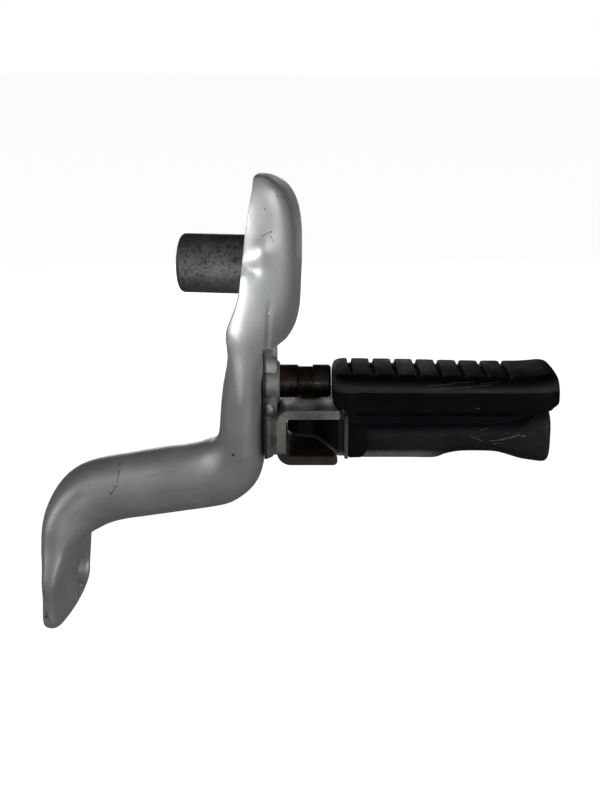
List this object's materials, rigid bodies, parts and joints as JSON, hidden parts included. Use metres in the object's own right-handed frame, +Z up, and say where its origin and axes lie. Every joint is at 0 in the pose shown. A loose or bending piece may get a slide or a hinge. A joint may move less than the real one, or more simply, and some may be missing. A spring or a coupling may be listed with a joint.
{
  "type": "motorcycle footpeg",
  "caption": "Motorcycle footpeg: formed steel tube arm with pressed ends, a mounting collar and pedal pivot, and a rubber-covered peg that folds on a sprung pin in a welded clevis.",
  "frame": {"origin": "on the axis of the mounting collar's bore, 1.4 mm inside the collar's end face", "axes": "+X along the collar's bore towards the peg side, +Y away from the front of the arm, +Z up the arm"},
  "size_m": [0.2624, 0.0707, 0.2356],
  "materials": {
    "silver_paint": "satin",
    "bare_steel": "dull",
    "rusty_steel": "rusty and greasy",
    "zinc_steel": "dull zinc",
    "spring_steel": "dark",
    "bush_bronze": "worn",
    "black_paint": "worn satin",
    "tread_rubber": "matt"
  },
  "bodies": {
    "bracket": {"bracket_arm": "silver_paint", "mounting_collar": "bare_steel", "collar_weld": "silver_paint", "base_plate": "silver_paint", "pivot_boss": "silver_paint", "pedal_pivot": "rusty_steel", "boss_weld": "silver_paint", "clevis": "bare_steel", "clevis_welds": "silver_paint", "fold_pin": "zinc_steel", "pin_washer": "zinc_steel", "split_pin": "zinc_steel", "return_spring": "spring_steel"},
    "peg": {"pin_bush": "bush_bronze", "peg_core": "black_paint", "peg_end_plate": "zinc_steel", "peg_rubber": "tread_rubber", "rubber_screws": "zinc_steel", "screw_washers": "zinc_steel"}
  },
  "joints": [
    {"name": "peg_fold", "type": "hinge", "parent": "bracket", "child": "peg", "pos_m": [0.059, 0.02287, -0.083], "axis": [0, 0, 1], "range_deg": [0, 80], "stiffness_Nm_per_rad": 0.8, "springref_deg": -34.38, "deforming": ["return_spring"]}
  ]
}
